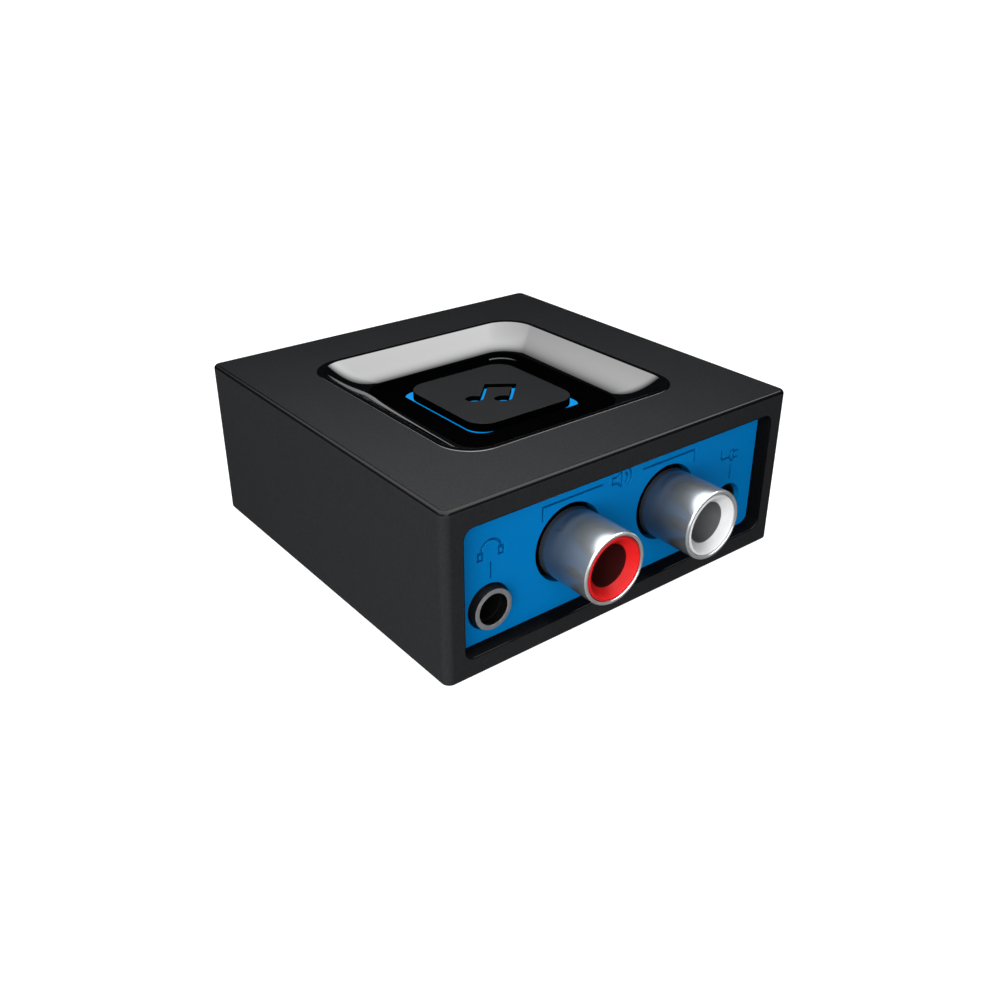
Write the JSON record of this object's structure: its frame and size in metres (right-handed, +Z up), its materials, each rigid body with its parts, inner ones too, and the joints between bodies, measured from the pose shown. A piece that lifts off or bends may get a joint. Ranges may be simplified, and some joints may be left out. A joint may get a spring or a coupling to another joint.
{
  "type": "bluetooth audio receiver",
  "caption": "Square desktop wireless audio receiver with phono, 3.5 mm and power sockets on a blue panel and a push button in a glossy dish on top.",
  "frame": {"origin": "centre of the footprint, sockets included, on the surface the rubber feet stand on", "axes": "+Z up, the connector panel faces -Y, +X to the right when facing the panel"},
  "size_m": [0.0508, 0.0562, 0.021],
  "materials": {
    "housing_black": "fine satin grain, charcoal",
    "button_black": "soft-touch matte",
    "gloss_black": "piano black",
    "panel_blue": "fine grain, satin",
    "guide_blue": "translucent, smooth",
    "socket_black": "smooth moulded",
    "insert_red": "smooth moulded",
    "insert_white": "smooth moulded",
    "nickel": "satin nickel plate with a bright rim",
    "contact_gold": "flash gold",
    "screw_steel": "blackened",
    "foot_rubber": "matte",
    "board_green": "solder mask",
    "board_blue": "solder mask",
    "lamp_clear": "clear epoxy"
  },
  "bodies": {
    "housing": {"housing_shell": "housing_black", "base_cover": "housing_black", "foot_front_left": "foot_rubber", "foot_front_right": "foot_rubber", "foot_rear_left": "foot_rubber", "foot_rear_right": "foot_rubber", "base_screw_front_left": "screw_steel", "base_screw_front_right": "screw_steel", "base_screw_rear_left": "screw_steel", "base_screw_rear_right": "screw_steel", "connector_panel": "panel_blue", "phono_shell_red": "nickel", "phono_shell_white": "nickel", "phono_insert_red": "insert_red", "phono_insert_white": "insert_white", "phono_contact_red": "contact_gold", "phono_contact_white": "contact_gold", "phono_body_red": "socket_black", "phono_body_white": "socket_black", "aux_body": "socket_black", "aux_contact_sleeve": "contact_gold", "aux_contact_ring": "contact_gold", "aux_contact_tip": "contact_gold", "power_body": "socket_black", "power_pin": "nickel", "power_contact": "contact_gold", "main_board": "board_green", "radio_board": "board_blue", "radio_shield": "nickel", "audio_chip": "socket_black", "regulator_chip": "socket_black", "power_coil": "socket_black", "crystal": "nickel", "capacitor_left": "nickel", "capacitor_right": "nickel", "lamp_left": "lamp_clear", "lamp_right": "lamp_clear", "switch_base": "socket_black", "switch_cover": "nickel", "switch_dome": "nickel", "top_dish": "gloss_black"},
    "button": {"pairing_button": "button_black", "light_guide": "guide_blue"},
    "plunger": {"switch_plunger": "socket_black"}
  },
  "joints": [
    {"name": "button_press", "type": "slide", "parent": "housing", "child": "button", "axis": [0, 0, -1], "range_m": [0, 0.00035], "stiffness_N_per_m": 3000},
    {"name": "switch_press", "type": "slide", "parent": "housing", "child": "plunger", "axis": [0, 0, -1], "range_m": [0, 0.00035], "deforming": ["switch_dome"]}
  ],
  "couplings": [
    {"joint": "switch_press", "follows": "button_press", "ratio": 1}
  ]
}
